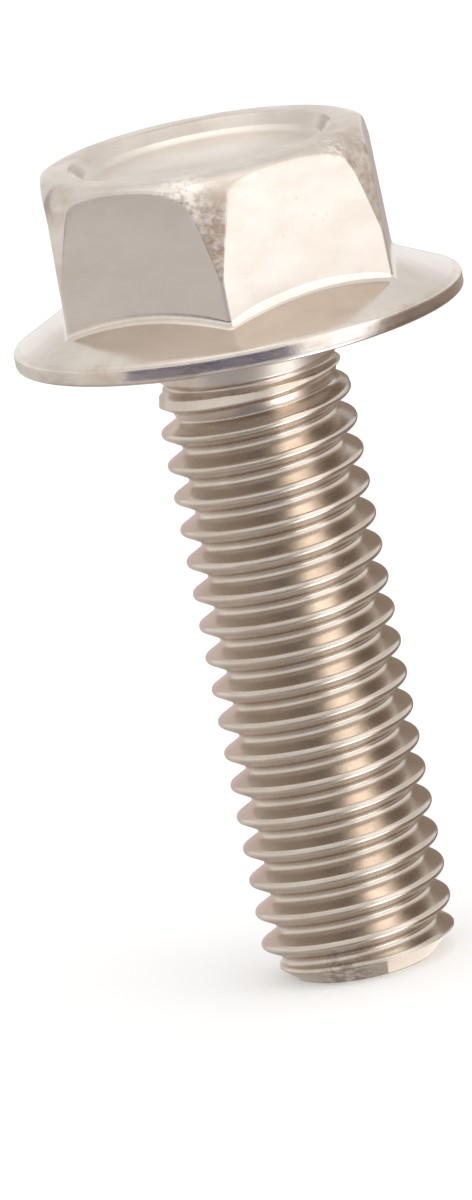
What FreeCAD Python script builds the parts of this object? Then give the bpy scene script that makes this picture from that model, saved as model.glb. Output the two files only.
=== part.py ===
import FreeCAD, Part
import math
import os

# Flange bolt: a hexagon head with an indented top, forged in one piece with its flange,
# and a shank threaded over almost its whole length. Millimetres, +Z up, the bolt stands on
# its thread end, and the origin is the middle of that end face.

# Thread, metric coarse, right hand
thread_diameter = 5.88
thread_pitch = 1.0
thread_depth = 0.55
crest_width = 0.125
flank_angle = 60.0
thread_start_angle = 131.4

# Shank, from the end face up to the flange's bearing face
shank_length = 20.0
point_depth = 0.87
point_length = 0.75
neck_relief = 0.22
neck_length = 1.3
runout_length = 1.1
neck_flare = 0.22

# Flange, its rim out past the hexagon's corners by the reach
flange_reach = 1.197
rim_height = 0.38
rim_top_bevel = 0.08
rim_lower_bevel = 0.07
flange_slope = 27.0

# Hexagon head, measured from the bearing face
head_height = 5.58
across_flats = 9.74
flat_draft = 0.8
corner_rounding = 0.16
hexagon_turn = -2.1
head_fillet = 0.5

# Crown, the turned form that takes the hexagon's corners off towards the top
crown_rounding = 1.0
crown_steps = 4
crown_inset = 1.273
corner_taper = 7.5

# Indent in the head's top, inside a flat ring
ring_width = 0.35
indent_depth = 0.5
indent_wall_angle = 42.0
indent_edge_bevel = 0.13
indent_floor_bevel = 0.2

AXIS_FOOT = FreeCAD.Vector(0, 0, 0)
UP = FreeCAD.Vector(0, 0, 1)


def tan_deg(angle):
    """The tangent of an angle in degrees."""
    return math.tan(math.radians(angle))


def point(radius, height):
    """A point of a turned outline, at a radius from the axis."""
    return FreeCAD.Vector(radius, 0, height)


def turned(points):
    """A solid turned about the bolt's axis from a closed outline of straight lines."""
    outline = Part.makePolygon(points + [points[0]])
    return Part.Face(outline).revolve(AXIS_FOOT, UP, 360)


def crest_radius():
    """The thread's outer radius."""
    return thread_diameter / 2


def neck_radius():
    """The radius of the plain neck under the head."""
    return crest_radius() - neck_relief


def corner_radius():
    """The sharp hexagon's corner, from the axis."""
    return across_flats / 2 / math.cos(math.pi / 6)


def rim_radius():
    """The flange's outer radius."""
    return corner_radius() + flange_reach


def crown_top_radius():
    """The radius where the crown's rounding meets the head's top, in from the corners."""
    return corner_radius() - crown_inset


def shank_core():
    """The shank without its thread ridge: root, run-out cone and neck."""
    root = crest_radius() - thread_depth
    neck = neck_radius()
    neck_start = shank_length - neck_length
    runout_start = neck_start - runout_length
    chamfer = min(root, crest_radius() - point_depth)
    chamfer_end = (root - chamfer) * point_length / point_depth
    return turned([
        point(0, 0),
        point(chamfer, 0),
        point(root, chamfer_end),
        point(root, runout_start),
        point(neck, neck_start),
        point(neck, shank_length - neck_flare),
        point(neck + neck_flare, shank_length),
        point(neck, shank_length + rim_height / 2),
        point(0, shank_length + rim_height / 2),
    ])


def thread_envelope():
    """The turned form that the ridge stays inside: chamfered point, crests, run-out."""
    crest = crest_radius()
    neck_start = shank_length - neck_length
    runout_start = neck_start - runout_length
    fade = thread_pitch / 4
    return turned([
        point(0, 0),
        point(crest - point_depth, 0),
        point(crest, point_length),
        point(crest, runout_start),
        point(neck_radius() - thread_depth / 8, neck_start + fade),
        point(0, neck_start + fade),
    ])


def ridge_profile():
    """One tooth of the thread, with its foot inside the core and its tip past the crest."""
    spare = thread_depth / 4
    slope = tan_deg(flank_angle / 2)
    crest = crest_radius()
    foot = crest - thread_depth - spare
    tip = crest + spare / 2
    foot_half = crest_width / 2 + (crest - foot) * slope
    tip_half = crest_width / 2 - (tip - crest) * slope
    corners = [
        point(foot, -foot_half),
        point(tip, -tip_half),
        point(tip, tip_half),
        point(foot, foot_half),
    ]
    return Part.makePolygon(corners + [corners[0]])


def thread_ridge():
    """The ridge swept along its helix and trimmed to the envelope."""
    spare_length = 2 * thread_pitch
    rise = shank_length - neck_length + 2 * spare_length
    no_taper = 0.0
    helix = Part.makeLongHelix(thread_pitch, rise, crest_radius(), no_taper)
    ridge = Part.Wire(helix.Edges).makePipeShell([ridge_profile()], True, True)
    ridge.translate(FreeCAD.Vector(0, 0, -spare_length))
    ridge.rotate(AXIS_FOOT, UP, thread_start_angle)
    return ridge.common(thread_envelope())


def hexagon(height, widening):
    """A closed hexagon outline at a height, wider across flats by the widening."""
    radius = corner_radius() + widening / 2 / math.cos(math.pi / 6)
    corners = []
    for i in range(6):
        angle = math.radians(60 * i - 90 + hexagon_turn)
        x = radius * math.cos(angle)
        y = radius * math.sin(angle)
        corners.append(FreeCAD.Vector(x, y, height))
    return Part.makePolygon(corners + [corners[0]])


def hexagon_prism():
    """The hexagon with its slight draft and rounded corners."""
    top = shank_length + head_height
    widening = 2 * head_height * tan_deg(flat_draft)
    lower = hexagon(shank_length + rim_height / 2, widening)
    upper = hexagon(top, 0)
    prism = Part.makeLoft([lower, upper], True, True)
    corners = [e for e in prism.Edges if abs(e.tangentAt(e.FirstParameter).z) > 0.9]
    return prism.makeFillet(corner_rounding, corners)


def crown():
    """The turned form that rounds the hexagon's corners off towards the top."""
    top = shank_length + head_height
    top_radius = crown_top_radius()
    side_radius = top_radius + crown_rounding
    side_height = top - crown_rounding
    foot_height = shank_length
    foot_radius = side_radius + (side_height - foot_height) * tan_deg(corner_taper)
    outline = [point(0, foot_height), point(foot_radius, foot_height)]
    for step in range(crown_steps + 1):
        bend = math.pi / 2 * step / crown_steps
        radius = top_radius + crown_rounding * math.cos(bend)
        height = side_height + crown_rounding * math.sin(bend)
        outline.append(point(radius, height))
    outline.append(point(0, top))
    return turned(outline)


def flange():
    """The round flange: bearing face, bevelled rim and the cone that rises to the hexagon."""
    radius = rim_radius()
    slope = tan_deg(flange_slope)
    rim_top = shank_length + rim_height
    inner = across_flats / 4
    inner_top = rim_top + (radius - inner) * slope
    return turned([
        point(0, shank_length),
        point(radius - rim_lower_bevel, shank_length),
        point(radius, shank_length + rim_lower_bevel),
        point(radius, rim_top - rim_top_bevel),
        point(radius - rim_top_bevel, rim_top + rim_top_bevel * slope),
        point(inner, inner_top),
        point(0, inner_top),
    ])


def indent():
    """What the punch leaves in the head's top: a round pan with a sloped wall."""
    top = shank_length + head_height
    slope = tan_deg(indent_wall_angle)
    floor_height = top - indent_depth
    edge = crown_top_radius() - ring_width
    wall_top = edge - indent_edge_bevel
    wall_top_height = top - indent_edge_bevel * tan_deg(indent_wall_angle / 2)
    wall_foot_height = floor_height + indent_floor_bevel * tan_deg(indent_wall_angle / 2)
    wall_foot = wall_top - (wall_top_height - wall_foot_height) / slope
    return turned([
        point(0, floor_height),
        point(wall_foot - indent_floor_bevel, floor_height),
        point(wall_foot, wall_foot_height),
        point(wall_top, wall_top_height),
        point(edge, top),
        point(edge, top + indent_depth),
        point(0, top + indent_depth),
    ])


def seam_edges(shape):
    """The edges where the hexagon stands on the flange's cone."""
    rim_top = shank_length + rim_height
    reach = rim_radius() - across_flats / 2
    highest = rim_top + reach * tan_deg(flange_slope) + thread_pitch / 10
    found = []
    for edge in shape.Edges:
        box = edge.BoundBox
        faces = shape.ancestorsOfType(edge, Part.Face)
        round_sides = [f for f in faces if isinstance(f.Surface, Part.Cone)]
        on_seam = len(faces) == 2 and len(round_sides) == 1
        if on_seam and box.ZMin > rim_top and box.ZMax < highest:
            found.append(edge)
    return found


def head():
    """The crowned hexagon on its flange, with the foot of the flats rounded and the indent."""
    block = hexagon_prism().common(crown())
    joined = block.fuse(flange()).removeSplitter()
    joined = joined.makeFillet(head_fillet, seam_edges(joined))
    return joined.cut(indent())


def bolt():
    """The whole bolt as one solid."""
    body = head().fuse(shank_core()).removeSplitter()
    return body.fuse(thread_ridge()).removeSplitter()


if __name__ == "__main__":
    os.makedirs("parts", exist_ok=True)
    bolt().exportStep("parts/flange_bolt.step")
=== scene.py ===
from collections import namedtuple
import math
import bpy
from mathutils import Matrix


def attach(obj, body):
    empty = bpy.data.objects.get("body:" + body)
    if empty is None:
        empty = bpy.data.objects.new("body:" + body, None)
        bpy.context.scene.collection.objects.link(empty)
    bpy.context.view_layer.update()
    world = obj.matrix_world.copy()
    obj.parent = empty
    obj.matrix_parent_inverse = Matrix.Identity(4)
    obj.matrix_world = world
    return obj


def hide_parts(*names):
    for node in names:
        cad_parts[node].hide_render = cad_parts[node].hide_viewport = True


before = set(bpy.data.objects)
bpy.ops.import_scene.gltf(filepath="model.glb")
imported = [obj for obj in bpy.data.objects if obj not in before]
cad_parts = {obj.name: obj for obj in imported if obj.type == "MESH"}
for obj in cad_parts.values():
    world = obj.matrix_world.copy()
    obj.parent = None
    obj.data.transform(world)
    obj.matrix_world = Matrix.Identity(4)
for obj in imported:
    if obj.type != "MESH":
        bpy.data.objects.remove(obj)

from types import SimpleNamespace

import bmesh
import bpy
from mathutils import Matrix, Vector

bl_info = {
    "name": "Flange Bolt",
    "version": (1, 0, 0),
    "blender": (4, 5, 0),
    "location": "3D View > Sidebar > Bolt",
    "description": "Dresses a hexagon flange bolt in satin steel, with its studio",
    "category": "Object",
}

# Lengths are in metres, as in the frame. MM turns a size on the drawing into them.
MM = 0.001
CAD_NODE = "flange_bolt"
BOLT_NAME = "flange_bolt_skin"
# Vertices closer together than WELD are one. LEVEL is how near its cut a ring of edges lies.
WELD = 1e-7
THREAD_WELD = 1e-6
LEVEL = 2e-6


def linear(hex_colour):
    """An sRGB colour such as "#C3B7AD" as linear red, green and blue."""
    channels = []
    for i in (1, 3, 5):
        value = int(hex_colour[i:i + 2], 16) / 255
        channels.append(value / 12.92 if value <= 0.04045 else ((value + 0.055) / 1.055) ** 2.4)
    return tuple(channels)


def length(name, description, default_mm):
    """A length property, given in millimetres and kept in metres."""
    return bpy.props.FloatProperty(
        name=name, description=description, default=default_mm * MM, min=0.0, unit="LENGTH",
        precision=5)


def angle(name, description, degrees):
    """An angle property, given in degrees and kept in radians."""
    return bpy.props.FloatProperty(
        name=name, description=description, default=math.radians(degrees), subtype="ANGLE")


def colour(name, description, hex_colour):
    """A colour property, given as sRGB hex and kept linear."""
    return bpy.props.FloatVectorProperty(
        name=name, description=description, default=linear(hex_colour), min=0.0, max=1.0,
        size=3, subtype="COLOR")


class HeadSizes(bpy.types.PropertyGroup):
    """Sizes of the forged head and its flange."""

    bearing_height: length(
        "Bearing face height", "Height of the flange's underside over the thread's end", 20.0)
    head_height: length("Head height", "From the bearing face to the head's top", 5.58)
    across_flats: length("Across flats", "Width of the hexagon at its top", 9.74)
    flat_draft: angle("Flat draft", "Lean of the flats, which widens the hexagon downwards", 0.8)
    corner_rounding: length("Corner rounding", "Radius of the hexagon's upright corners", 0.16)
    hexagon_turn: angle("Hexagon turn", "Turn of the front corner off -Y", -2.1)
    head_offset: length(
        "Head offset", "How far the forged head sits off the shank's axis, towards -X", 0.08)
    crown_top: length(
        "Crown top radius", "Radius where the crown's rounding meets the flat top", 4.46)
    crown_rounding: length("Crown rounding", "Radius of the crown's shoulder", 0.91)
    crown_shift: length("Crown shift", "How much further towards -X the head's top sits", 0.1)
    corner_taper: angle("Corner taper", "Lean of the turned surface that cuts the corners", 7.5)
    arch_softness: length(
        "Arch softness", "How far the edge of each flat's arch is eased", 0.12)
    arch_ledge: length(
        "Arch ledge", "How far the crown stands out over the middle of a flat", 0.05)
    indent_radius: length("Indent radius", "Radius of the indent's edge in the head's top", 3.92)
    indent_depth: length("Indent depth", "Depth of the indent", 0.5)
    indent_wall: angle("Indent wall", "Lean of the indent's wall from upright", 42.0)
    indent_edge_rounding: length(
        "Indent edge rounding", "Radius at the indent's upper edge", 0.2)
    indent_floor_rounding: length(
        "Indent floor rounding", "Radius at the indent's floor", 0.5)
    rim_radius: length("Rim radius", "Outer radius of the flange", 6.82)
    rim_height: length("Rim height", "Height of the flange's rim", 0.44)
    rim_top_rounding: length("Rim top rounding", "Radius of the rim's upper edge", 0.12)
    rim_lower_rounding: length("Rim lower rounding", "Radius of the rim's lower edge", 0.08)
    flange_slope: angle("Flange slope", "Slope of the flange's cone", 27.0)
    flange_tilt: angle(
        "Flange tilt", "Tilt of the cone, which makes the rim thicker in front", 0.93)
    foot_fillet: length("Foot fillet", "Radius where a flat runs into the flange", 0.27)


class ThreadSizes(bpy.types.PropertyGroup):
    """Sizes of the rolled thread and the neck under the head."""

    crest_radius: length("Crest radius", "Outer radius of the thread", 2.94)
    pitch: length("Pitch", "Rise of the thread in one turn", 1.0)
    depth: length("Depth", "Depth of the thread", 0.55)
    crest_rounding: length("Crest rounding", "Radius over a crest", 0.15)
    crest_height: length("Crest height", "Height of a crest on the shank's -X side", 17.135)
    point_radius: length("Point radius", "Radius of the chamfered end", 2.07)
    point_length: length("Point length", "Height at which the point reaches the crests", 0.75)
    end_edge: length("End edge", "Width of the narrow ring at the end face's edge", 0.15)
    end_ring: length("End ring", "Width of the flat ring inside it", 0.7)
    end_hollow: length("End hollow", "Depth of the hollow in the middle of the end face", 0.12)
    runout_start: length("Run-out start", "Height where the thread begins to fade", 17.5)
    neck_start: length("Neck start", "Height where the plain neck begins", 18.7)
    neck_radius: length("Neck radius", "Radius of the plain neck", 2.72)
    groove_height: length(
        "Groove height", "Height of the shallow groove between thread and neck", 18.64)
    groove_depth: length("Groove depth", "Depth of that groove", 0.15)
    groove_half: length("Groove half width", "Half the width of that groove", 0.15)
    neck_flare: length("Neck flare", "Radius of the fillet between neck and bearing face", 0.22)


class Finish(bpy.types.PropertyGroup):
    """Colours of the steel."""

    steel: colour("Steel", "Clean satin steel", "#DCD2C8")
    steel_dull: colour("Dull steel", "Steel where the surface is duller", "#C9BCAF")
    thread_steel: colour("Thread steel", "Clean steel of the thread and neck", "#CFC4B8")
    thread_dull: colour("Dull thread steel", "Duller steel of the thread and neck", "#BFB1A4")
    stain: colour("Stain", "Steel with a faint brown stain", "#B89F8B")
    # Brown for real tarnish and rust spots, also used as painted shade at the ends of the
    # indent's wall
    tarnish_and_shade: colour("Tarnish", "Brown tarnish in pits and spots", "#6E4F38")
    # Painted highlight: near-white glints on the crown's corners and a highlight on the indent's
    # floor
    painted_highlight: colour("Worn steel", "Bare steel where the surface is rubbed bright", "#FFF7EE")
    smut: colour("Smut", "Grey film left in the punched top and on the point", "#8A7B76")


class Studio(bpy.types.PropertyGroup):
    """The floor, the lamp, the cards and the camera."""

    floor_colour: colour("Floor", "Pale floor", "#F7F6F5")
    floor_radius: length("Floor radius", "Radius of the round floor", 1500.0)
    lamp_power: bpy.props.FloatProperty(
        name="Lamp power", description="Power of the soft lamp", default=0.03, min=0.0,
        unit="POWER")
    air_strength: bpy.props.FloatProperty(
        name="Air strength", description="Brightness of the white tent round the bolt",
        default=1.0, min=0.0)
    front_card: colour("Front card", "Dark card on the floor in front", "#4C466E")
    left_card: colour("Left card", "Pale card on the floor at the left", "#FAF6F2")
    # Painted shadow: this grey stands for the floor's contact shadow round the foot, as the steel
    # sees it
    heel_card: colour("Heel card", "Grey card round the bolt's foot, behind it", "#BFBBB8")
    right_wall: colour("Right wall", "Brown card behind the shank at the right", "#9C8C7F")
    left_wall: colour("Left wall", "Grey card behind the shank at the left", "#E4D5D1")
    lens: bpy.props.FloatProperty(
        name="Lens", description="Focal length for a 36 mm wide sensor", default=538.98, min=1.0,
        subtype="DISTANCE_CAMERA")


# The finishes of the bolt's skin, in the order of its material slots
FINISHES = ("crown", "flat", "flange", "rim", "thread", "neck", "indent_floor", "indent_wall")

# Columns of the head: a sector is a corner of the hexagon and half a flat on each side of it
CORNER_STEPS = 3
FLAT_STEPS = 14
SECTOR_STEPS = 2 * (CORNER_STEPS + FLAT_STEPS)
HEAD_COLUMNS = 6 * SECTOR_STEPS
HALF_SECTOR = math.radians(30)
# How far round the axis the rounded corner's own columns reach on each side
CORNER_SPAN = math.radians(0.83)

# Zones of the head's outline, from the middle of its top to the neck
Zone = namedtuple("Zone", "name rows finish")
ZONES = (
    Zone("indent_floor", 4, "indent_floor"),
    Zone("indent_fillet", 5, "indent_floor"),
    Zone("indent_wall", 3, "indent_wall"),
    Zone("indent_edge", 4, "indent_wall"),
    Zone("top_ring", 2, "crown"),
    Zone("crown", 12, "crown"),
    Zone("arch", 3, "crown"),
    Zone("flat", 10, "flat"),
    Zone("foot", 6, "flange"),
    Zone("cone", 10, "flange"),
    Zone("rim_top", 5, "rim"),
    Zone("rim_face", 3, "rim"),
    Zone("rim_lower", 5, "rim"),
    Zone("bearing", 4, "flange"),
    Zone("flare", 5, "neck"),
    Zone("neck", 2, "neck"),
)
ROWS = {zone.name: zone.rows for zone in ZONES}
ZONE_OF_ROW = [zone for zone in ZONES for row in range(zone.rows)]

# The eased arch: how far its points lie from the sharp corner towards its chord, and how far
# the upper and lower ones lie along to the corner. A ledge is LEDGE_LEAN times as high as wide.
ARCH_PULL = 0.3
ARCH_MIDDLE = 0.5
ARCH_UPPER = 0.55
ARCH_LOWER = 0.45
LEDGE_LEAN = 1.4
# Halvings that find where crown and flat meet, and passes that find where flat and cone meet
ARCH_HALVINGS = 48
SEAM_PASSES = 12
# A point so far up the flat gives the foot fillet its upper direction
FLAT_LEAD = 1.0 * MM
# Below the bearing face, the head's neck ends at NECK_JOIN and the rolled shank at SHANK_CUT
NECK_JOIN = 0.6 * MM
SHANK_CUT = 0.9 * MM

# Thread: columns in a turn, points of each rounding, and rows between two roundings as
# shares of the flank, of which the outer two lie close to the roundings to keep it flat
THREAD_STEPS = 96
ROUNDING_POINTS = 5
FLANK_ROWS = (0.08, 0.5, 0.92)
HALF_FLANK = math.radians(30)
# Turns rolled past the shank's ends, in all and below its foot, and then cut off
SPARE_TURNS = 3
SPARE_BELOW = 1.5


def plain(group):
    """A property group's values as plain numbers, which are quicker to read many times."""
    return SimpleNamespace(**{name: getattr(group, name) for name in group.__annotations__})


def clamp(share):
    """A share held between 0 and 1."""
    return min(max(share, 0.0), 1.0)


def lerp(a, b, t):
    """The point a share t of the way from a to b."""
    return (a[0] + (b[0] - a[0]) * t, a[1] + (b[1] - a[1]) * t)


def between(start, end, count):
    """That many points spread evenly between two others."""
    return [lerp(start, end, (i + 1) / (count + 1)) for i in range(count)]


def rounded(before, corner, after, radius, count):
    """Points of an arc of that radius that eases a corner of an outline."""
    first = Vector(before) - Vector(corner)
    last = Vector(after) - Vector(corner)
    first.normalize()
    last.normalize()
    half = first.angle(last) / 2
    tangent = radius / math.tan(half)
    centre = Vector(corner) + (first + last).normalized() * (radius / math.sin(half))
    start = Vector(corner) + first * tangent - centre
    end = Vector(corner) + last * tangent - centre
    turn = start.angle_signed(end)
    points = []
    for i in range(count):
        spoke = start.copy()
        spoke.rotate(Matrix.Rotation(-turn * i / (count - 1), 2))
        points.append(tuple(centre + spoke))
    return points


def flat_radius(sizes, off_corner, height):
    """The hexagon's radius at an angle off the nearest corner and at a height."""
    top = sizes.bearing_height + sizes.head_height
    apothem = sizes.across_flats / 2 + (top - height) * math.tan(sizes.flat_draft)
    rounding = sizes.corner_rounding
    centre = (apothem - rounding) / math.cos(HALF_SECTOR)
    tangent_x = centre + rounding * math.cos(HALF_SECTOR)
    tangent_angle = math.atan2(rounding * math.sin(HALF_SECTOR), tangent_x)
    if off_corner < tangent_angle:
        reach = rounding ** 2 - (centre * math.sin(off_corner)) ** 2
        return centre * math.cos(off_corner) + math.sqrt(reach)
    return apothem / math.cos(HALF_SECTOR - off_corner)


def crown_point(sizes, bend):
    """A point of the crown's outline, by its angle from the shoulder's side to its top."""
    top = sizes.bearing_height + sizes.head_height
    side = top - sizes.crown_rounding
    if bend < 0:
        drop = -bend * sizes.crown_rounding
        shoulder = sizes.crown_top + sizes.crown_rounding
        return (shoulder + drop * math.tan(sizes.corner_taper), side - drop)
    radius = sizes.crown_top + sizes.crown_rounding * math.cos(bend)
    return (radius, side + sizes.crown_rounding * math.sin(bend))


def middle_share(off_corner):
    """How near a column is to the middle of a flat: 0 at a corner and 1 at the middle."""
    return 1 - (1 - off_corner / HALF_SECTOR) ** 2


def arch_bend(sizes, off_corner):
    """Where the crown's outline meets the hexagon, as an angle of crown_point."""
    low = -(sizes.head_height - sizes.crown_rounding) / sizes.crown_rounding
    high = math.pi / 2
    ledge = sizes.arch_ledge * middle_share(off_corner)
    for _ in range(ARCH_HALVINGS):
        middle = (low + high) / 2
        radius, height = crown_point(sizes, middle)
        if radius > flat_radius(sizes, off_corner, height) + ledge:
            low = middle
        else:
            high = middle
    return low


def cone_height(sizes, radius):
    """The height of the flange's cone at a radius."""
    rim_top = sizes.bearing_height + sizes.rim_height
    return rim_top + (sizes.rim_radius - radius) * math.tan(sizes.flange_slope)


def indent_rows(sizes):
    """The indent's outline, from the middle of its floor to its rounded edge."""
    top = sizes.bearing_height + sizes.head_height
    floor = top - sizes.indent_depth
    middle = (0.0, floor)
    foot = (sizes.indent_radius - sizes.indent_depth * math.tan(sizes.indent_wall), floor)
    edge = (sizes.indent_radius, top)
    ring = (sizes.crown_top, top)
    fillet = rounded(middle, foot, edge, sizes.indent_floor_rounding, ROWS["indent_fillet"])
    shoulder = rounded(foot, edge, ring, sizes.indent_edge_rounding, ROWS["indent_edge"])
    rows = [middle] + between(middle, fillet[0], ROWS["indent_floor"] - 1)
    rows += fillet
    rows += between(fillet[-1], shoulder[0], ROWS["indent_wall"])
    rows += shoulder
    rows += between(shoulder[-1], ring, ROWS["top_ring"])
    return rows


def crown_rows(sizes, off_corner):
    """The crown's outline, the eased arch under it and the first point of the flat below."""
    meeting = arch_bend(sizes, off_corner)
    start = math.pi / 2
    end = meeting + sizes.arch_softness / sizes.crown_rounding
    last = ROWS["crown"] - 1
    rows = [crown_point(sizes, start + (end - start) * i / last) for i in range(last + 1)]
    sharp = crown_point(sizes, meeting)
    ledge = sizes.arch_ledge * middle_share(off_corner)
    below_height = sharp[1] - sizes.arch_softness - LEDGE_LEAN * ledge
    below = (flat_radius(sizes, off_corner, below_height), below_height)
    chord = lerp(rows[-1], below, 0.5)
    pulled = lerp(sharp, chord, ARCH_PULL)
    rows.append(lerp(rows[-1], pulled, ARCH_UPPER))
    rows.append(lerp(sharp, chord, ARCH_MIDDLE))
    rows.append(lerp(below, pulled, ARCH_LOWER))
    return rows, below


def flat_share(row):
    """How far down a flat one of its rows is: they lie closer together near its ends."""
    return (1 - math.cos(math.pi * row / ROWS["flat"])) / 2


def foot_rows(sizes, off_corner):
    """The fillet where a flat runs into the flange."""
    seam_radius = sizes.across_flats / 2
    for _ in range(SEAM_PASSES):
        seam_radius = flat_radius(sizes, off_corner, cone_height(sizes, seam_radius))
    seam = (seam_radius, cone_height(sizes, seam_radius))
    rim = (sizes.rim_radius, cone_height(sizes, sizes.rim_radius))
    above_height = seam[1] + FLAT_LEAD
    above = (flat_radius(sizes, off_corner, above_height), above_height)
    return rounded(above, seam, rim, sizes.foot_fillet, ROWS["foot"])


def flange_rows(sizes, start):
    """The cone outside the fillet, the rim, and the edge of the bearing face."""
    low = sizes.bearing_height
    rim_top = (sizes.rim_radius, low + sizes.rim_height)
    rim_foot = (sizes.rim_radius, low)
    upper = rounded(start, rim_top, rim_foot, sizes.rim_top_rounding, ROWS["rim_top"])
    lower = rounded(rim_top, rim_foot, (0.0, low), sizes.rim_lower_rounding, ROWS["rim_lower"])
    rows = between(start, upper[0], ROWS["cone"])
    rows += upper
    rows += between(upper[-1], lower[0], ROWS["rim_face"])
    rows += lower
    return rows


def neck_rows(sizes, thread, start):
    """The bearing face from the rim inwards, the fillet under the head and the neck."""
    low = sizes.bearing_height
    corner = (thread.neck_radius, low)
    join = (thread.neck_radius, low - NECK_JOIN)
    flare = rounded(start, corner, join, thread.neck_flare, ROWS["flare"])
    rows = between(start, flare[0], ROWS["bearing"])
    rows += flare
    rows += between(flare[-1], join, ROWS["neck"] - 1) + [join]
    return rows


def head_outline(sizes, thread, off_corner):
    """The whole outline of the head at an angle off the nearest corner."""
    rows = indent_rows(sizes)
    crown, below = crown_rows(sizes, off_corner)
    fillet = foot_rows(sizes, off_corner)
    rows += crown
    rows += [lerp(below, fillet[0], flat_share(i)) for i in range(ROWS["flat"])]
    rows += fillet
    rows += flange_rows(sizes, rows[-1])
    rows += neck_rows(sizes, thread, rows[-1])
    return rows


def column_angle(column, sizes):
    """The angle of a column round the axis, and its angle off the nearest corner."""
    sector, step = divmod(column + SECTOR_STEPS // 2, SECTOR_STEPS)
    step -= SECTOR_STEPS // 2
    off = abs(step)
    if off <= CORNER_STEPS:
        off_corner = CORNER_SPAN * off / CORNER_STEPS
    else:
        share = 1 - math.cos(math.pi / 2 * (off - CORNER_STEPS) / FLAT_STEPS)
        off_corner = CORNER_SPAN + (HALF_SECTOR - CORNER_SPAN) * share
    corner = math.radians(60 * sector - 90) + sizes.hexagon_turn
    return corner + math.copysign(off_corner, step), off_corner


def tilt_shares():
    """How far each row of the head goes with the flange's tilt: 1 on the cone, 0 elsewhere."""
    shares = []
    for zone in ZONES:
        for i in range(zone.rows):
            if zone.name == "flat":
                shares.append(flat_share(i))
            elif zone.name in ("foot", "cone", "rim_top"):
                shares.append(1.0)
            elif zone.name == "rim_face":
                shares.append(1.0 - (i + 1) / (zone.rows + 1))
            else:
                shares.append(0.0)
    return shares


def spin_head(sizes, thread):
    """A round head turned from one outline, with its row kept on each vertex."""
    bm = bmesh.new()
    row_layer = bm.verts.layers.int.new("row")
    chain = []
    for row, (radius, height) in enumerate(head_outline(sizes, thread, HALF_SECTOR / 2)):
        vert = bm.verts.new((radius, 0.0, height))
        vert[row_layer] = row
        chain.append(vert)
    edges = [bm.edges.new(pair) for pair in zip(chain, chain[1:])]
    bmesh.ops.spin(
        bm, geom=chain + edges, cent=(0, 0, 0), axis=(0, 0, 1), angle=2 * math.pi,
        steps=HEAD_COLUMNS, use_merge=True)
    bmesh.ops.remove_doubles(bm, verts=bm.verts, dist=WELD)
    return bm


def press_hexagon(bm, sizes, thread):
    """Moves the turned head's vertices onto the hexagon, its arches and its fillets."""
    row_layer = bm.verts.layers.int["row"]
    zone_names = [zone.name for zone in ZONE_OF_ROW]
    # The head's offset fades out down the cone, and the crown's shift down its shoulder
    cone_row = zone_names.index("cone")
    rim_row = zone_names.index("rim_top")
    shoulder = sizes.bearing_height + sizes.head_height - sizes.crown_rounding
    tilts = tilt_shares()
    step = 2 * math.pi / HEAD_COLUMNS
    outlines = {}
    for vert in bm.verts:
        row = vert[row_layer]
        column = round(math.atan2(vert.co.y, vert.co.x) / step) % HEAD_COLUMNS
        turn, off_corner = column_angle(column, sizes)
        key = round(off_corner, 9)
        if key not in outlines:
            outlines[key] = head_outline(sizes, thread, off_corner)
        radius, height = outlines[key][row]
        offset = sizes.head_offset * clamp((rim_row - row) / (rim_row - cone_row))
        offset += sizes.crown_shift * clamp((height - shoulder) / sizes.crown_rounding)
        height -= radius * math.sin(turn) * math.tan(sizes.flange_tilt) * tilts[row]
        vert.co = (radius * math.cos(turn) - offset, radius * math.sin(turn), height)


def finish_head(bm):
    """Gives each face of the head the finish of its lower row's zone."""
    row_layer = bm.verts.layers.int["row"]
    for face in bm.faces:
        lower_row = max(vert[row_layer] for vert in face.verts)
        face.material_index = FINISHES.index(ZONE_OF_ROW[lower_row].finish)


def thread_outline(thread):
    """Radius by height over one pitch of the thread, from one crest to the next."""
    slope = math.tan(HALF_FLANK)
    side = math.pi / 2 - HALF_FLANK
    crest_half = thread.crest_rounding * math.sin(side)
    crest_drop = thread.crest_rounding * (1 - math.cos(side))
    half = thread.pitch / 2
    # The root's rounding takes up what the crest's and the flanks leave of the pitch
    excess = crest_half + (thread.depth - crest_drop) * slope - half
    root_rounding = excess / ((1 - math.cos(side)) * slope - math.sin(side))
    floor = thread.crest_radius - thread.depth
    crest = []
    root = []
    for i in range(ROUNDING_POINTS):
        bend = side * i / (ROUNDING_POINTS - 1)
        crest.append((thread.crest_radius - thread.crest_rounding * (1 - math.cos(bend)),
                      thread.crest_rounding * math.sin(bend)))
        root.insert(0, (floor + root_rounding * (1 - math.cos(bend)),
                        half - root_rounding * math.sin(bend)))
    flank = [lerp(crest[-1], root[0], share) for share in FLANK_ROWS]
    rising = crest + flank + root
    falling = [(radius, thread.pitch - height) for radius, height in reversed(rising[:-1])]
    return rising + falling


def shank_limits(thread, height):
    """The least and greatest radius of the shank's surface at a height."""
    root = thread.crest_radius - thread.depth
    fade = clamp((height - thread.runout_start) / (thread.neck_start - thread.runout_start))
    groove = max(0.0, 1 - abs(height - thread.groove_height) / thread.groove_half)
    groove = thread.groove_depth * groove * (2 - groove)
    least = root + (thread.neck_radius - root) * fade - groove
    greatest = thread.crest_radius + (thread.neck_radius - thread.crest_radius) * fade - groove
    rise = height / thread.point_length
    chamfer = thread.point_radius + (thread.crest_radius - thread.point_radius) * rise
    return min(least, chamfer), min(greatest, chamfer)


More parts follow.
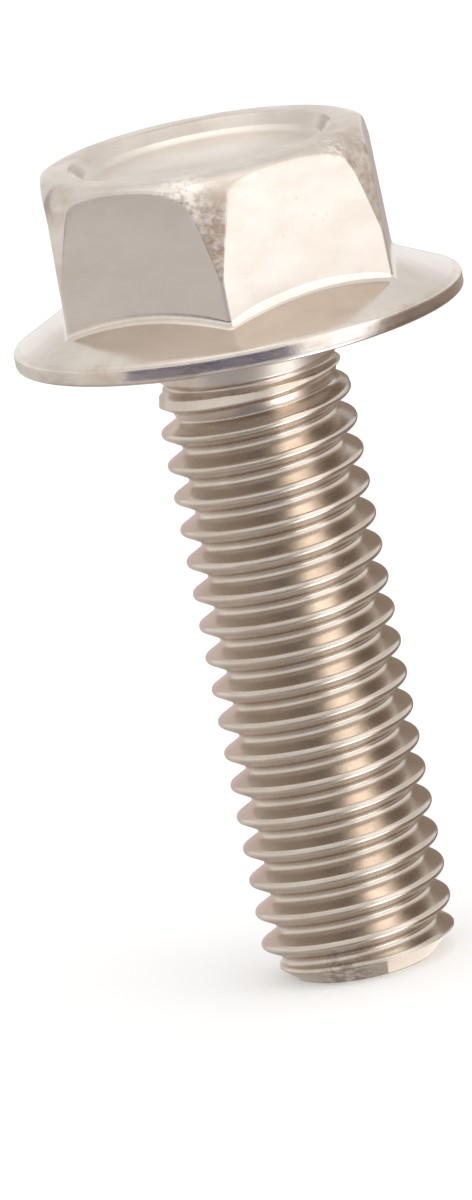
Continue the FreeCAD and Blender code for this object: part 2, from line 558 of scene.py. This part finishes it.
def roll_thread(thread, top):
    """The shank: one turn of thread repeated up the axis, held to its limits and cut level."""
    bm = bmesh.new()
    turns = math.ceil(top / thread.pitch) + SPARE_TURNS
    start = thread.crest_height - thread.pitch / 2
    start -= thread.pitch * math.ceil(start / thread.pitch + SPARE_BELOW)
    chain = [bm.verts.new((radius, 0.0, start + height))
             for radius, height in thread_outline(thread)]
    edges = [bm.edges.new(pair) for pair in zip(chain, chain[1:])]
    bmesh.ops.spin(
        bm, geom=chain + edges, cent=(0, 0, 0), axis=(0, 0, 1),
        dvec=(0, 0, thread.pitch / THREAD_STEPS), angle=2 * math.pi, steps=THREAD_STEPS)
    one_turn = bm.verts[:] + bm.edges[:] + bm.faces[:]
    for turn in range(1, turns):
        copied = bmesh.ops.duplicate(bm, geom=one_turn)["geom"]
        raised = [part for part in copied if isinstance(part, bmesh.types.BMVert)]
        bmesh.ops.translate(bm, verts=raised, vec=(0, 0, thread.pitch * turn))
    bmesh.ops.remove_doubles(bm, verts=bm.verts, dist=THREAD_WELD)
    for vert in bm.verts:
        radius = math.hypot(vert.co.x, vert.co.y)
        least, greatest = shank_limits(thread, max(vert.co.z, 0.0))
        held = min(max(radius, least), greatest)
        vert.co.x *= held / radius
        vert.co.y *= held / radius
    for height, side in ((0.0, "below"), (top, "above")):
        bmesh.ops.bisect_plane(
            bm, geom=bm.verts[:] + bm.edges[:] + bm.faces[:], dist=WELD,
            plane_co=(0, 0, height), plane_no=(0, 0, 1), clear_outer=side == "above",
            clear_inner=side == "below")
    return bm


def ring_at(bm, height):
    """The open edges at a height."""
    return [edge for edge in bm.edges
            if edge.is_boundary and all(abs(vert.co.z - height) < LEVEL for vert in edge.verts)]


def close_end(bm, thread):
    """Fills the shank's end with two flat rings and a shallow hollow in the middle."""
    end = bmesh.ops.holes_fill(bm, edges=ring_at(bm, 0.0), sides=0)["faces"]
    bmesh.ops.recalc_face_normals(bm, faces=bm.faces)
    for face in end:
        face.material_index = FINISHES.index("thread")
    for inset in (thread.end_edge, thread.end_ring):
        bmesh.ops.inset_region(bm, faces=end, thickness=inset, use_even_offset=True)
    centre = bmesh.ops.poke(bm, faces=end)
    for vert in centre["verts"]:
        vert.co.z += thread.end_hollow


def add_node(tree, kind, settings=None, links=None):
    """Adds a node, sets what settings names and links what links names to its inputs."""
    node = tree.nodes.new(kind)
    for name, value in (settings or {}).items():
        if isinstance(name, int) or name in node.inputs:
            node.inputs[name].default_value = value
        else:
            setattr(node, name, value)
    for name, source in (links or {}).items():
        tree.links.new(source, node.inputs[name])
    return node


def new_material(name):
    """An empty node material."""
    material = bpy.data.materials.new(name)
    material.use_nodes = True
    material.node_tree.nodes.clear()
    return material


# Sizes of the steel's patterns: patches of a duller tone, stains, and the two that give its
# relief. The real grain is finer than 0.01 mm, and is drawn at 0.07 mm so that it shows.
PATCH_SIZE = 1.5 * MM
STAIN_SIZE = 0.9 * MM
WAVE_SIZE = 0.45 * MM
GRAIN_SIZE = 0.07 * MM
# The patterns are longer round the bolt than up it, as tumbling and rolling leave them
STRETCH = (0.7, 0.7, 1.4)
# Noise values between which a patch or a stain comes in, and how far apart they are for specks
PATCH_EDGE = (0.38, 0.62)
STAIN_EDGE = (0.54, 0.7)
SPECK_EDGE = 0.15
# How deep a speck is pitted
SPECK_DEPTH = 0.007 * MM
# How far patches make the steel smoother and rougher
ROUGHNESS_SPREAD = (-0.05, 0.06)

# A spot of another tone: its middle, its outer and inner reach and the size of the specks that
# it breaks up into, or 0 for a plain one, all in millimetres, then how rare the specks are,
# its tone and its strength
Blot = namedtuple("Blot", "x y z outer inner speck rare tone strength")


def steel_material(name, stain, tones, roughness, mottling, staining, grain, wave, blots=()):
    """Cold-formed steel: satin metal of two tones with soft mottling, faint brown stains, fine
    grain and blots. Grain and wave are heights in millimetres."""
    material = new_material(name)
    tree = material.node_tree
    place = add_node(tree, "ShaderNodeTexCoord").outputs["Object"]
    stretched = add_node(tree, "ShaderNodeMapping", {"Scale": STRETCH}, {
        "Vector": place}).outputs["Vector"]
    patches = add_node(tree, "ShaderNodeTexNoise", {
        "Scale": 1 / PATCH_SIZE, "Detail": 6.0, "Roughness": 0.62}, {"Vector": stretched})
    patch_share = add_node(tree, "ShaderNodeMapRange", {
        "From Min": PATCH_EDGE[0], "From Max": PATCH_EDGE[1], "To Min": 0.0, "To Max": mottling},
        {"Value": patches.outputs["Fac"]})
    tone = add_node(tree, "ShaderNodeMix", {
        "data_type": "RGBA", 6: (*tones[0], 1), 7: (*tones[1], 1)},
        {"Factor": patch_share.outputs["Result"]}).outputs[2]
    stains = add_node(tree, "ShaderNodeTexNoise", {
        "Scale": 1 / STAIN_SIZE, "Detail": 4.0, "Roughness": 0.55}, {"Vector": stretched})
    stain_share = add_node(tree, "ShaderNodeMapRange", {
        "From Min": STAIN_EDGE[0], "From Max": STAIN_EDGE[1], "To Min": 0.0, "To Max": staining},
        {"Value": stains.outputs["Fac"]})
    tone = add_node(tree, "ShaderNodeMix", {"data_type": "RGBA", 7: (*stain, 1)}, {
        "Factor": stain_share.outputs["Result"], 6: tone}).outputs[2]
    grains = add_node(tree, "ShaderNodeTexNoise", {
        "Scale": 1 / GRAIN_SIZE, "Detail": 2.0}, {"Vector": place})
    waves = add_node(tree, "ShaderNodeTexNoise", {
        "Scale": 1 / WAVE_SIZE, "Detail": 2.0}, {"Vector": stretched})
    relief = add_node(tree, "ShaderNodeMath", {"operation": "MULTIPLY", 1: grain * MM}, {
        0: grains.outputs["Fac"]}).outputs["Value"]
    relief = add_node(tree, "ShaderNodeMath", {"operation": "MULTIPLY_ADD", 1: wave * MM}, {
        0: waves.outputs["Fac"], 2: relief}).outputs["Value"]
    for blot in blots:
        middle = Vector((blot.x, blot.y, blot.z)) * MM
        gap = add_node(tree, "ShaderNodeVectorMath", {"operation": "DISTANCE", 1: middle}, {
            0: place})
        share = add_node(tree, "ShaderNodeMapRange", {
            "From Min": blot.outer * MM, "From Max": blot.inner * MM, "To Min": 0.0,
            "To Max": blot.strength}, {"Value": gap.outputs["Value"]}).outputs["Result"]
        if blot.speck:
            specks = add_node(tree, "ShaderNodeTexNoise", {
                "Scale": 1 / (blot.speck * MM), "Detail": 3.0, "Roughness": 0.6},
                {"Vector": place})
            broken = add_node(tree, "ShaderNodeMapRange", {
                "From Min": blot.rare, "From Max": blot.rare + SPECK_EDGE, "To Min": 0.0,
                "To Max": 1.0}, {"Value": specks.outputs["Fac"]})
            share = add_node(tree, "ShaderNodeMath", {"operation": "MULTIPLY"}, {
                0: share, 1: broken.outputs["Result"]}).outputs["Value"]
            relief = add_node(tree, "ShaderNodeMath", {
                "operation": "MULTIPLY_ADD", 1: -SPECK_DEPTH}, {
                0: share, 2: relief}).outputs["Value"]
        tone = add_node(tree, "ShaderNodeMix", {"data_type": "RGBA", 7: (*blot.tone, 1)}, {
            "Factor": share, 6: tone}).outputs[2]
    rough = add_node(tree, "ShaderNodeMapRange", {
        "From Min": 0.3, "From Max": 0.7, "To Min": roughness + ROUGHNESS_SPREAD[0],
        "To Max": roughness + ROUGHNESS_SPREAD[1]}, {"Value": patches.outputs["Fac"]})
    bump = add_node(tree, "ShaderNodeBump", {"Strength": 1.0, "Distance": 1.0}, {
        "Height": relief})
    shader = add_node(tree, "ShaderNodeBsdfPrincipled", {"Metallic": 1.0}, {
        "Base Color": tone, "Roughness": rough.outputs["Result"],
        "Normal": bump.outputs["Normal"]})
    add_node(tree, "ShaderNodeOutputMaterial", None, {"Surface": shader.outputs["BSDF"]})
    return material


class FLANGEBOLT_OT_head(bpy.types.Operator):
    """Turns the forged head and its flange, and presses the hexagon into them"""

    bl_idname = "flange_bolt.head"
    bl_label = "Forged Head"

    def execute(self, context):
        sizes = plain(context.scene.bolt_head)
        thread = plain(context.scene.bolt_thread)
        if len(ZONE_OF_ROW) != len(head_outline(sizes, thread, 0.0)):
            raise RuntimeError("the zones don't add up to the outline's rows")
        bm = spin_head(sizes, thread)
        press_hexagon(bm, sizes, thread)
        finish_head(bm)
        mesh_data = bpy.data.meshes.new(BOLT_NAME)
        bm.to_mesh(mesh_data)
        bm.free()
        bolt = bpy.data.objects.new(BOLT_NAME, mesh_data)
        context.scene.collection.objects.link(bolt)
        return {"FINISHED"}


class FLANGEBOLT_OT_shank(bpy.types.Operator):
    """Rolls the thread up the shank, closes its point and joins it to the head"""

    bl_idname = "flange_bolt.shank"
    bl_label = "Threaded Shank"

    def execute(self, context):
        sizes = plain(context.scene.bolt_head)
        thread = plain(context.scene.bolt_thread)
        bolt = bpy.data.objects[BOLT_NAME]
        neck_end = sizes.bearing_height - NECK_JOIN
        top = sizes.bearing_height - SHANK_CUT
        shank = roll_thread(thread, top)
        for face in shank.faces:
            on_neck = face.calc_center_median().z > thread.groove_height - thread.groove_half
            face.material_index = FINISHES.index("neck" if on_neck else "thread")
        spare = bpy.data.meshes.new("spare")
        shank.to_mesh(spare)
        shank.free()
        bm = bmesh.new()
        bm.from_mesh(bolt.data)
        bm.from_mesh(spare)
        bpy.data.meshes.remove(spare)
        joined = bmesh.ops.bridge_loops(bm, edges=ring_at(bm, neck_end) + ring_at(bm, top))
        for face in joined["faces"]:
            face.material_index = FINISHES.index("neck")
        close_end(bm, thread)
        for face in bm.faces:
            face.smooth = True
        open_edges = [edge for edge in bm.edges if not edge.is_manifold]
        if open_edges:
            raise RuntimeError("the bolt's skin isn't closed: %d open edges" % len(open_edges))
        if bm.calc_volume(signed=True) < 0:
            bmesh.ops.reverse_faces(bm, faces=bm.faces)
        bm.to_mesh(bolt.data)
        bm.free()
        return {"FINISHED"}


class FLANGEBOLT_OT_finish(bpy.types.Operator):
    """Gives the bolt its steel and says what it stands for"""

    bl_idname = "flange_bolt.finish"
    bl_label = "Steel Finish"

    def execute(self, context):
        look = plain(context.scene.bolt_finish)
        bolt = bpy.data.objects[BOLT_NAME]
        head = (look.steel, look.steel_dull)
        shank = (look.thread_steel, look.thread_dull)
        finishes = {
            # Forged in a die and tumbled: an even satin, mottled grey and faintly brown, with
            # brown stains at two corners and painted glints over them as bright specks
            "crown": steel_material(
                "forged_crown_steel", look.stain, head, roughness=0.36, mottling=0.6,
                staining=0.35, grain=0.001, wave=0.005, blots=(
                    Blot(-0.2, -5.3, 23.6, 2.1, 0.9, 0.4, 0.38, look.stain, 0.8),
                    Blot(-0.2, -5.3, 23.4, 1.8, 1.0, 0.25, 0.5, look.tarnish_and_shade, 0.3),
                    # This blot and the last are painted glints, bright specks at the tops of two
                    # corners
                    Blot(-1.0, -4.9, 25.0, 1.0, 0.4, 0.22, 0.42, look.painted_highlight, 0.9),
                    Blot(4.7, -2.7, 24.6, 2.3, 1.1, 0.4, 0.42, look.stain, 0.38),
                    Blot(4.9, -2.7, 23.8, 1.9, 0.9, 0.2, 0.52, look.tarnish_and_shade, 0.15),
                    Blot(3.7, -3.2, 25.4, 0.7, 0.3, 0.2, 0.45, look.painted_highlight, 0.7))),
            # Pressed flat and calm: each flat mirrors one tone of the room, without an edge,
            # and one has a few grey pits
            "flat": steel_material(
                "pressed_flat_steel", look.stain, head, roughness=0.4, mottling=0.3,
                staining=0.08, grain=0.0008, wave=0.002, blots=(
                    Blot(2.45, -4.25, 23.6, 1.5, 0.7, 0.16, 0.61, look.smut, 0.3),)),
            # Coined by the die: the glossiest face, in which the hexagon's feet stay sharp
            "flange": steel_material(
                "satin_flange_steel", look.stain, head, roughness=0.14, mottling=0.35,
                staining=0.15, grain=0.0006, wave=0.001),
            # The free edge of the forging, tumbled: uneven satin that draws the room into bands
            "rim": steel_material(
                "tumbled_rim_steel", look.stain, head, roughness=0.2, mottling=0.7,
                staining=0.5, grain=0.0012, wave=0.004),
            # Rolled between dies: burnished, darker steel with a sharp light along each turn,
            # two rust spots, and a grey film on the point
            "thread": steel_material(
                "rolled_thread_steel", look.stain, shank, roughness=0.25, mottling=0.5,
                staining=0.15, grain=0.0004, wave=0.004, blots=(
                    Blot(-0.797, -2.632, 17.984, 0.16, 0.05, 0, 0, look.tarnish_and_shade, 0.85),
                    Blot(-0.239, -2.74, 1.919, 0.12, 0.04, 0, 0, look.tarnish_and_shade, 0.85),
                    Blot(-0.5, -2.2, 0.05, 1.1, 0.6, 0.25, 0.44, look.smut, 0.8))),
            # The drawn wire's own skin: dull and streaked with brown
            "neck": steel_material(
                "drawn_neck_steel", look.stain, head, roughness=0.34, mottling=0.8,
                staining=0.5, grain=0.001, wave=0.006),
            # Struck by the punch's face: pale satin, with a painted highlight over the floor's
            # far half
            "indent_floor": steel_material(
                "punched_floor_steel", look.stain, head, roughness=0.36, mottling=0.5,
                staining=0.15, grain=0.001, wave=0.005, blots=(
                    Blot(0.0, 2.7, 25.08, 3.4, 1.4, 0, 0, look.painted_highlight, 0.55),)),
            # Drawn down by the punch's side: satin under a grey film, with painted shade in brown
            # at its two ends
            "indent_wall": steel_material(
                "punched_wall_steel", look.stain, head, roughness=0.36, mottling=0.35,
                staining=0.15, grain=0.001, wave=0.004, blots=(
                    Blot(-0.9, 3.7, 25.4, 1.5, 0.8, 0, 0, look.smut, 0.24),
                    Blot(2.9, 2.4, 25.4, 1.7, 1.0, 0, 0, look.smut, 0.09),
                    # Painted shade: brown at the wall's left and right ends, where the recess
                    # lies in shadow
                    Blot(-4.0, 0.4, 25.5, 0.9, 0.3, 0, 0, look.tarnish_and_shade, 0.4),
                    Blot(3.8, 0.6, 25.5, 0.8, 0.3, 0, 0, look.tarnish_and_shade, 0.45))),
        }
        for name in FINISHES:
            bolt.data.materials.append(finishes[name])
        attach(bolt, "root")
        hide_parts(CAD_NODE)
        return {"FINISHED"}


# What the steel sees round the bolt, by bearing in degrees, 0 along +X and -90 in front.
# White stands for the brightest light there, and is BRIGHTEST times white paper.
BRIGHTEST = 4.2
UNDER_BOLT = "#6B6967"
# The tent's wall and roof, by degrees above the horizon
TENT = (
    (0, "#868686"), (11, "#8E8E8E"), (18, "#838383"), (24, "#7E7E7E"), (36, "#808080"),
    (53, "#888888"), (61, "#8B8B8B"), (68, "#929292"), (76, "#9D9D9D"), (90, "#9D9D9D"))
# The ground far off, seen at a slant
FAR_GROUND = (
    (-180, "#7A7A7A"), (-150, "#787878"), (-120, "#727272"), (-85, "#6F6F6F"), (-68, "#7E7E7E"),
    (-58, "#8C9096"), (-24, "#8C9096"), (-16, "#504642"), (5, "#423A36"), (35, "#4E433E"),
    (60, "#574F4C"), (90, "#6B6967"), (130, "#7A7A7A"), (180, "#7A7A7A"))
# The ground close to the bolt, seen steeply
NEAR_GROUND = (
    (-180, "#6D6967"), (-130, "#635F5E"), (-114, "#4D4D50"), (-80, "#4D4D50"), (-68, "#868686"),
    (-55, "#FFFFFF"), (-32, "#FFFFFF"), (-16, "#6A635D"), (-5, "#49423C"), (20, "#534A44"),
    (45, "#5D5752"), (90, "#635F5C"), (180, "#6D6967"))
# The z of a look's direction over which the wall gives way to the far ground, that to the
# near ground, and that to what is under the bolt
WALL_TO_FAR = (-0.06, -0.17)
FAR_TO_NEAR = (-0.32, -0.56)
NEAR_TO_UNDER = (-0.8, -0.9)

# Cards that only the steel sees. A section runs between two points of radius and height in
# millimetres, and goes round the bolt from start by sweep, in degrees. The tone is a colour
# of the studio. They lie on the floor, stand behind the shank, or ring the bolt's foot.
ON_FLOOR = ((86, 0.5), (300, 0.5))
BEHIND_SHANK = ((9, 0.5), (9, 19.8))
ROUND_FOOT = ((2.09, 0.02), (3.2, 0.02))
CARD_STEPS = 24
Card = namedtuple("Card", "name section start sweep tone strength")
CARDS = (
    Card("front_card", ON_FLOOR, -153, 89, "front_card", 1.0),
    Card("left_card", ON_FLOOR, -182, 30, "left_card", 1.0),
    Card("right_wall", BEHIND_SHANK, 40, 50, "right_wall", 1.0),
    Card("left_wall", BEHIND_SHANK, 95, 50, "left_wall", 1.0),
    Card("foot_card", ROUND_FOOT, -72, 90, "left_card", 1.5),
    # Painted contact shadow: a grey ring behind the foot, seen only in the steel
    Card("heel_card", ROUND_FOOT, 18, 190, "heel_card", 1.0),
)

FLOOR_SEGMENTS = 96
# What the floor adds to its own light for the camera, so that it shows as white
FLOOR_GLOW = 0.15

# The soft lamp, in millimetres
WINDOW_PLACE = (70, -65, 80)
WINDOW_TARGET = (0, 0, 80)
WINDOW_WIDTH = 83
WINDOW_HEIGHT = 160
WINDOW_TINT = (1, 0.99, 0.98)

# The camera as fitted to the photograph: its place in millimetres and two of its axes
CAMERA_PLACE = (-1.6967, -526.142, 128.380)
CAMERA_RIGHT = (0.98137, -0.04158, -0.18757)
CAMERA_DOWN = (-0.19212, -0.21241, -0.95811)
SENSOR_WIDTH = 36
NEAREST = 10 * MM
FARTHEST = 10000 * MM


def fill_stops(ramp, stops, first, last):
    """Sets a ramp's colours from stops of degrees and hex colours, between two angles."""
    elements = ramp.color_ramp.elements
    while len(elements) > 1:
        elements.remove(elements[-1])
    elements[0].position = 0.0
    elements[0].color = (*linear(stops[0][1]), 1)
    for degrees, hex_colour in stops[1:]:
        element = elements.new((degrees - first) / (last - first))
        element.color = (*linear(hex_colour), 1)


def stand_card(context, card, tone):
    """Bends a card round the bolt. Neither the camera nor the shadows see it."""
    bm = bmesh.new()
    turn = math.radians(card.start)
    ends = [bm.verts.new(Vector((radius * math.cos(turn), radius * math.sin(turn), height)) * MM)
            for radius, height in card.section]
    edge = bm.edges.new(ends)
    bmesh.ops.spin(
        bm, geom=ends + [edge], cent=(0, 0, 0), axis=(0, 0, 1), angle=math.radians(card.sweep),
        steps=CARD_STEPS)
    data = bpy.data.meshes.new(card.name)
    bm.to_mesh(data)
    bm.free()
    board = bpy.data.objects.new(card.name, data)
    context.scene.collection.objects.link(board)
    # Matt board, lit evenly: one flat tone in the steel
    material = new_material(card.name + "_matt_board")
    tree = material.node_tree
    light = add_node(tree, "ShaderNodeEmission", {"Color": (*tone, 1), "Strength": card.strength})
    add_node(tree, "ShaderNodeOutputMaterial", None, {"Surface": light.outputs["Emission"]})
    data.materials.append(material)
    board.visible_camera = False
    board.visible_diffuse = False
    board.visible_shadow = False


class FLANGEBOLT_OT_studio(bpy.types.Operator):
    """Lays the pale floor, sets the light and places the camera as in the photograph"""

    bl_idname = "flange_bolt.studio"
    bl_label = "Studio"

    def execute(self, context):
        studio = context.scene.bolt_studio
        self.lay_floor(context, studio)
        self.raise_tent(context, studio)
        self.hang_lamp(context, studio)
        for card in CARDS:
            stand_card(context, card, tuple(getattr(studio, card.tone)))
        self.place_camera(context, studio)
        context.scene.view_settings.view_transform = "Standard"
        return {"FINISHED"}

    def lay_floor(self, context, studio):
        """A round paper floor, which keeps the bolt's shadow and shows as white elsewhere."""
        data = bpy.data.meshes.new("studio_floor")
        bm = bmesh.new()
        bmesh.ops.create_circle(
            bm, cap_ends=True, segments=FLOOR_SEGMENTS, radius=studio.floor_radius)
        bmesh.ops.recalc_face_normals(bm, faces=bm.faces)
        bm.to_mesh(data)
        bm.free()
        floor = bpy.data.objects.new("studio_floor", data)
        context.scene.collection.objects.link(floor)
        # Uncoated paper: matt, so it takes a soft shadow and has no gloss
        material = new_material("pale_paper_floor")
        tree = material.node_tree
        seen = add_node(tree, "ShaderNodeLightPath")
        lift = add_node(tree, "ShaderNodeMath", {"operation": "MULTIPLY", 1: FLOOR_GLOW}, {
            0: seen.outputs["Is Camera Ray"]})
        paper = add_node(tree, "ShaderNodeBsdfDiffuse", {"Color": (*studio.floor_colour, 1)})
        glow = add_node(tree, "ShaderNodeEmission", {"Color": (1, 1, 1, 1)}, {
            "Strength": lift.outputs["Value"]})
        both = add_node(tree, "ShaderNodeAddShader", None, {
            0: paper.outputs["BSDF"], 1: glow.outputs["Emission"]})
        add_node(tree, "ShaderNodeOutputMaterial", None, {"Surface": both.outputs["Shader"]})
        data.materials.append(material)
        # In place of this floor, the steel sees the ground that raise_tent gives
        floor.visible_glossy = False

    def raise_tent(self, context, studio):
        """A white tent: plain white, but for what the steel's reflections see round the bolt."""
        world = bpy.data.worlds.new("white_tent")
        context.scene.world = world
        world.use_nodes = True
        tree = world.node_tree
        tree.nodes.clear()
        gaze = add_node(tree, "ShaderNodeTexCoord").outputs["Generated"]
        parts = add_node(tree, "ShaderNodeSeparateXYZ", None, {"Vector": gaze})
        bearing = add_node(tree, "ShaderNodeMath", {"operation": "ARCTAN2"}, {
            0: parts.outputs["Y"], 1: parts.outputs["X"]})
        bearing = add_node(tree, "ShaderNodeMapRange", {
            "From Min": -math.pi, "From Max": math.pi}, {"Value": bearing.outputs["Value"]})
        far = add_node(tree, "ShaderNodeValToRGB", None, {"Fac": bearing.outputs["Result"]})
        fill_stops(far, FAR_GROUND, -180, 180)
        near = add_node(tree, "ShaderNodeValToRGB", None, {"Fac": bearing.outputs["Result"]})
        fill_stops(near, NEAR_GROUND, -180, 180)
        rise = add_node(tree, "ShaderNodeMath", {"operation": "ARCSINE"}, {0: parts.outputs["Z"]})
        rise = add_node(tree, "ShaderNodeMapRange", {
            "From Min": 0.0, "From Max": math.pi / 2}, {"Value": rise.outputs["Value"]})
        wall = add_node(tree, "ShaderNodeValToRGB", None, {"Fac": rise.outputs["Result"]})
        fill_stops(wall, TENT, 0, 90)
        tent = wall.outputs["Color"]
        for (start, end), lower in (
                (WALL_TO_FAR, far), (FAR_TO_NEAR, near), (NEAR_TO_UNDER, None)):
            share = add_node(tree, "ShaderNodeMapRange", {
                "interpolation_type": "SMOOTHSTEP", "From Min": start, "From Max": end},
                {"Value": parts.outputs["Z"]})
            layer = add_node(tree, "ShaderNodeMix", {
                "data_type": "RGBA", 7: (*linear(UNDER_BOLT), 1)}, {
                "Factor": share.outputs["Result"], 6: tent})
            if lower:
                tree.links.new(lower.outputs["Color"], layer.inputs[7])
            tent = layer.outputs[2]
        reflected = add_node(tree, "ShaderNodeBackground", {"Strength": BRIGHTEST}, {
            "Color": tent})
        air = add_node(tree, "ShaderNodeBackground", {
            "Color": (1, 1, 1, 1), "Strength": studio.air_strength})
        path = add_node(tree, "ShaderNodeLightPath")
        both = add_node(tree, "ShaderNodeMixShader", None, {
            0: path.outputs["Is Glossy Ray"], 1: air.outputs["Background"],
            2: reflected.outputs["Background"]})
        add_node(tree, "ShaderNodeOutputWorld", None, {"Surface": both.outputs["Shader"]})

    def hang_lamp(self, context, studio):
        """A large soft lamp, front right, that stands for a window."""
        data = bpy.data.lights.new("window", "AREA")
        data.shape = "RECTANGLE"
        data.size = WINDOW_WIDTH * MM
        data.size_y = WINDOW_HEIGHT * MM
        data.energy = studio.lamp_power
        data.color = WINDOW_TINT
        lamp = bpy.data.objects.new("window", data)
        lamp.location = Vector(WINDOW_PLACE) * MM
        lamp.visible_camera = False
        gaze = Vector(WINDOW_TARGET) * MM - lamp.location
        lamp.rotation_mode = "QUATERNION"
        lamp.rotation_quaternion = gaze.to_track_quat("-Z", "Y")
        context.scene.collection.objects.link(lamp)

    def place_camera(self, context, studio):
        """The camera where it fits the photograph's outline."""
        data = bpy.data.cameras.new("photo_camera")
        data.sensor_width = SENSOR_WIDTH
        data.lens = studio.lens
        data.clip_start = NEAREST
        data.clip_end = FARTHEST
        camera = bpy.data.objects.new("photo_camera", data)
        right = Vector(CAMERA_RIGHT)
        down = Vector(CAMERA_DOWN)
        forward = right.cross(down)
        turn = Matrix((right, -down, -forward)).transposed().to_4x4()
        camera.matrix_world = Matrix.Translation(Vector(CAMERA_PLACE) * MM) @ turn
        context.scene.collection.objects.link(camera)
        context.scene.camera = camera


class FLANGEBOLT_PT_panel(bpy.types.Panel):
    """Lists the steps that dress the bolt"""

    bl_idname = "FLANGEBOLT_PT_panel"
    bl_label = "Flange Bolt"
    bl_space_type = "VIEW_3D"
    bl_region_type = "UI"
    bl_category = "Bolt"

    def draw(self, context):
        for step in STEPS:
            self.layout.operator(step.bl_idname)


GROUPS = (
    ("bolt_head", HeadSizes),
    ("bolt_thread", ThreadSizes),
    ("bolt_finish", Finish),
    ("bolt_studio", Studio),
)
STEPS = (FLANGEBOLT_OT_head, FLANGEBOLT_OT_shank, FLANGEBOLT_OT_finish, FLANGEBOLT_OT_studio)


def register():
    for name, group in GROUPS:
        bpy.utils.register_class(group)
        setattr(bpy.types.Scene, name, bpy.props.PointerProperty(type=group))
    for step in STEPS:
        bpy.utils.register_class(step)
    bpy.utils.register_class(FLANGEBOLT_PT_panel)


def unregister():
    bpy.utils.unregister_class(FLANGEBOLT_PT_panel)
    for step in reversed(STEPS):
        bpy.utils.unregister_class(step)
    for name, group in reversed(GROUPS):
        delattr(bpy.types.Scene, name)
        bpy.utils.unregister_class(group)


def main():
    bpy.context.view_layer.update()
    register()
    bpy.ops.flange_bolt.head()
    bpy.ops.flange_bolt.shank()
    bpy.ops.flange_bolt.finish()
    bpy.ops.flange_bolt.studio()
    bpy.context.view_layer.update()


if __name__ == "__main__":
    main()
